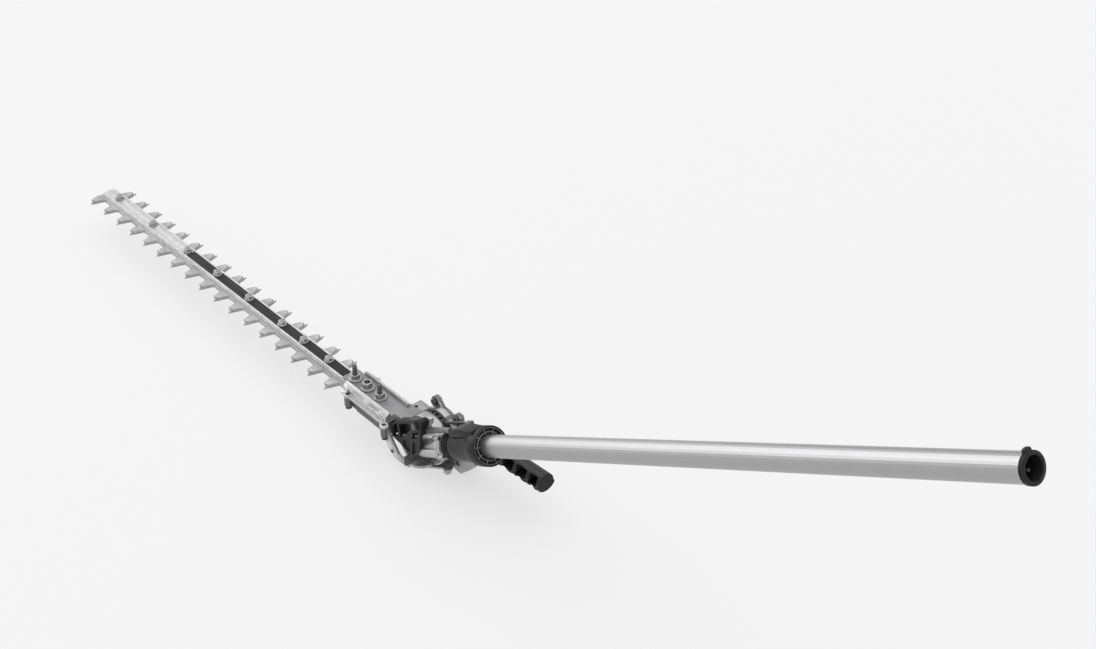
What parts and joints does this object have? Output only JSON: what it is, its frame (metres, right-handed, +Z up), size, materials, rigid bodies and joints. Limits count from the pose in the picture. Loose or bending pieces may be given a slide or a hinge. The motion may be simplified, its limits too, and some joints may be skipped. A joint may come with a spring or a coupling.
{
  "type": "pole hedge trimmer head",
  "caption": "Long-reach hedge trimmer attachment: a double-sided reciprocating cutter bar and gear case that swivel on the end of a straight drive tube.",
  "frame": {"origin": "centre of the coupling end of the drive tube, where a power unit is fitted", "axes": "+X along the cutter bar, away from its tip and towards the tube's free end; +Y to the side of the perforated quadrant and the handle; +Z up, square to the blades. The tube rises towards +X and +Z at 30.7 degrees"},
  "size_m": [1.4613, 0.0921, 0.5003],
  "materials": {
    "cast_alloy": "as-cast, lightly blasted",
    "dark_cast": "as-cast, dark coated",
    "tube_alloy": "satin anodised, drawn along its length",
    "rail_steel": "satin, brushed along the bar",
    "blade_steel": "ground edges, satin faces",
    "bright_steel": "zinc plated",
    "machined_steel": "turned and oiled",
    "black_steel": "black oxide, satin",
    "strip_black": "matt black strip with nothing printed on it",
    "black_plastic": "fine-textured glass-filled moulding",
    "seal_rubber": "matt"
  },
  "bodies": {
    "pole": {"drive_tube": "tube_alloy", "tube_coupling": "black_plastic", "shaft_bearing_front": "machined_steel", "shaft_bearing_rear": "machined_steel", "shaft_bush_1": "black_plastic", "shaft_bush_2": "black_plastic", "joint_neck": "cast_alloy", "clamp_ring_1": "cast_alloy", "clamp_ring_2": "cast_alloy", "side_bracket": "black_plastic", "bracket_bolt": "black_steel", "spring_stop": "machined_steel", "return_spring": "machined_steel"},
    "head": {"bar_bolt_1": "bright_steel", "bar_bolt_2": "bright_steel", "bar_bolt_3": "bright_steel", "bar_bolt_4": "bright_steel", "bar_bolt_5": "bright_steel", "bar_bolt_6": "bright_steel", "bar_bolt_7": "bright_steel", "bar_bolt_8": "bright_steel", "bracket_screw_1": "black_steel", "bracket_screw_2": "black_steel", "bracket_screw_3": "black_steel", "case_cover": "dark_cast", "case_nut_1": "bright_steel", "case_nut_2": "bright_steel", "case_stud_1": "black_steel", "case_stud_2": "black_steel", "cover_screw_1": "black_steel", "cover_screw_2": "black_steel", "cover_screw_3": "black_steel", "cover_screw_4": "black_steel", "crank_axle": "machined_steel", "face_strip": "strip_black", "forward_bearing": "machined_steel", "gear_case": "cast_alloy", "guide_rail": "rail_steel", "handle_bracket": "cast_alloy", "handle_grip": "black_plastic", "joint_drum": "cast_alloy", "joint_seal": "seal_rubber", "locking_quadrant": "black_steel", "swivel_pin": "machined_steel", "vent_plug": "bright_steel"},
    "sleeve": {"sliding_sleeve": "black_plastic", "sleeve_end_ring": "black_plastic", "release_rod": "black_steel", "locking_pin": "black_steel"},
    "drive_line": {"drive_shaft": "machined_steel", "drive_pinion": "machined_steel", "shaft_coupler": "machined_steel"},
    "crown": {"crown_gear": "machined_steel"},
    "forward_line": {"forward_shaft": "machined_steel", "forward_pinion": "machined_steel", "crank_pinion": "machined_steel"},
    "crank": {"crank_gear": "machined_steel"},
    "upper_blade": {"upper_blade": "blade_steel"},
    "lower_blade": {"lower_blade": "blade_steel"}
  },
  "joints": [
    {"name": "head_swivel", "type": "hinge", "parent": "pole", "child": "head", "pos_m": [-0.75495, 0, -0.44826], "axis": [0, 1, 0], "range_deg": [-66, 52.8]},
    {"name": "sleeve_slide", "type": "slide", "parent": "pole", "child": "sleeve", "axis": [0.8599, 0, 0.5105], "range_m": [-0.005, 0.0095], "stiffness_N_per_m": 900, "springref_m": -0.023, "deforming": ["return_spring"]},
    {"name": "drive_spin", "type": "hinge", "parent": "pole", "child": "drive_line", "pos_m": [-0.75495, 0, -0.44826], "axis": [0.8599, 0, 0.5105], "continuous": true},
    {"name": "crown_spin", "type": "hinge", "parent": "head", "child": "crown", "pos_m": [-0.75495, 0, -0.44826], "axis": [0, 1, 0], "continuous": true},
    {"name": "forward_spin", "type": "hinge", "parent": "head", "child": "forward_line", "pos_m": [-0.75495, 0, -0.44826], "axis": [1, 0, 0], "continuous": true},
    {"name": "crank_spin", "type": "hinge", "parent": "head", "child": "crank", "pos_m": [-0.83195, 0, -0.44826], "axis": [0, 0, 1], "continuous": true},
    {"name": "upper_blade_slide", "type": "slide", "parent": "head", "child": "upper_blade", "axis": [1, 0, 0], "range_m": [-0.0085, 0.0085]},
    {"name": "lower_blade_slide", "type": "slide", "parent": "head", "child": "lower_blade", "axis": [1, 0, 0], "range_m": [-0.0085, 0.0085]}
  ],
  "couplings": [
    {"joint": "crown_spin", "follows": "drive_spin", "ratio": -0.5},
    {"joint": "forward_spin", "follows": "drive_spin", "ratio": -1},
    {"joint": "crank_spin", "follows": "drive_spin", "ratio": 0.5},
    {"joint": "lower_blade_slide", "follows": "upper_blade_slide", "ratio": -1}
  ]
}
